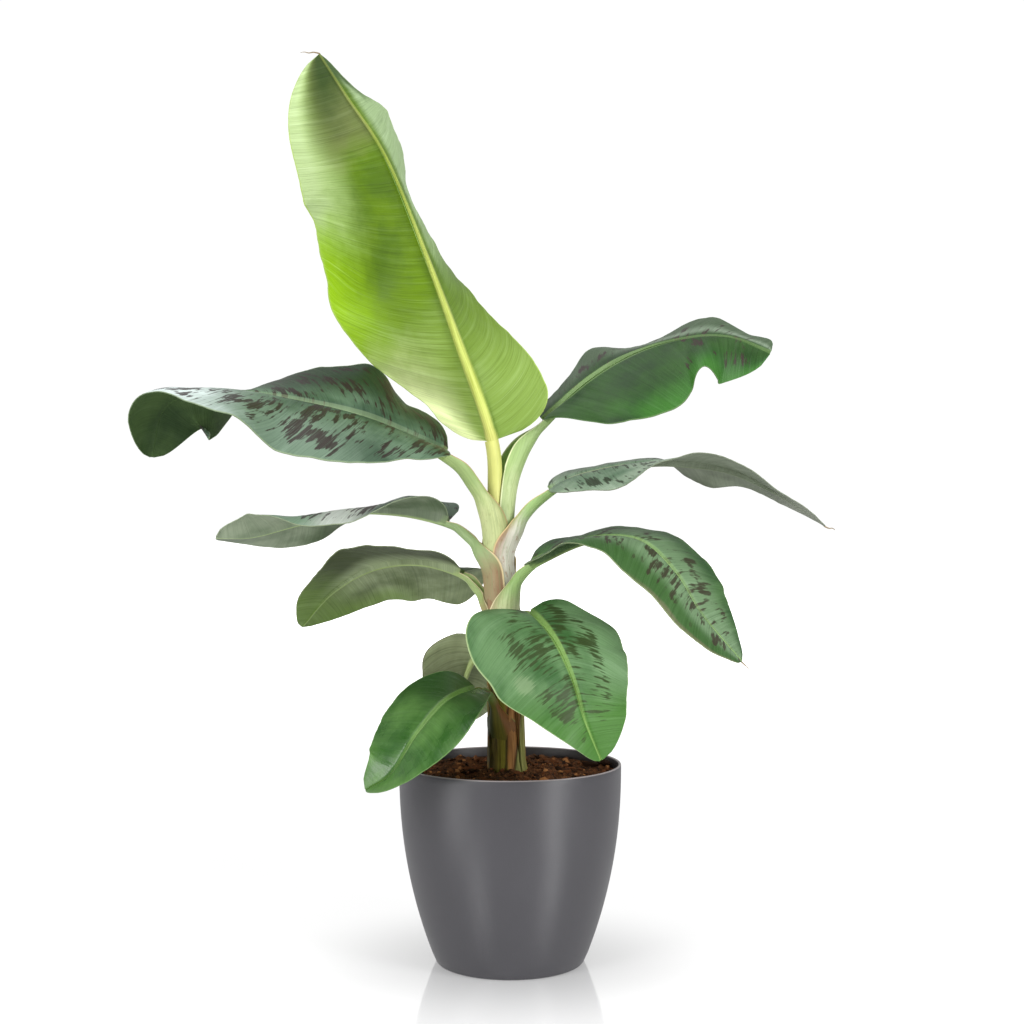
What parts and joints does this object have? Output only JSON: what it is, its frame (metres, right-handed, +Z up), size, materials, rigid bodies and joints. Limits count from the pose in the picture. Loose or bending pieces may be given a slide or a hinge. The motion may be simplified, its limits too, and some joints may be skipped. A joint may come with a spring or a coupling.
{
  "type": "potted banana plant",
  "caption": "Young banana plant with a short pseudostem and broad arching leaves, standing in a plain round dark grey indoor pot filled with potting mix.",
  "frame": {"origin": "centre of the pot's flat underside", "axes": "+Z up along the plant's height, +X to the side of the low slender right-hand leaf, -Y to the front, where the pot is overhung by the largest low leaf"},
  "size_m": [0.7186, 0.3475, 0.9692],
  "materials": {
    "pot_plastic": "satin anthracite plastic",
    "potting_mix": "coarse moist peat and coir",
    "sheath": "waxy leaf sheaths, purplish brown to green",
    "leaf_stalk": "waxy pale green stalk",
    "young_leaf": "thin satin leaf, bright yellow-green",
    "dark_leaf": "satin leaf, dark green with maroon blotches",
    "green_leaf": "satin leaf, mid green with maroon blotches",
    "olive_leaf": "matt olive green underside, satin green upper face"
  },
  "bodies": {
    "root": {"pot": "pot_plastic", "root_ball": "potting_mix", "trunk": "sheath", "leaf_1_petiole": "leaf_stalk", "leaf_1_blade": "young_leaf", "leaf_2_petiole": "leaf_stalk", "leaf_2_blade": "dark_leaf", "leaf_3_petiole": "leaf_stalk", "leaf_3_blade": "dark_leaf", "leaf_4_petiole": "leaf_stalk", "leaf_4_blade": "dark_leaf", "leaf_5_petiole": "leaf_stalk", "leaf_5_blade": "dark_leaf", "leaf_6_petiole": "leaf_stalk", "leaf_6_blade": "olive_leaf", "leaf_7_petiole": "leaf_stalk", "leaf_7_blade": "green_leaf", "leaf_8_petiole": "leaf_stalk", "leaf_8_blade": "green_leaf", "leaf_9_petiole": "leaf_stalk", "leaf_9_blade": "olive_leaf", "leaf_10_petiole": "leaf_stalk", "leaf_10_blade": "green_leaf"}
  },
  "joints": []
}
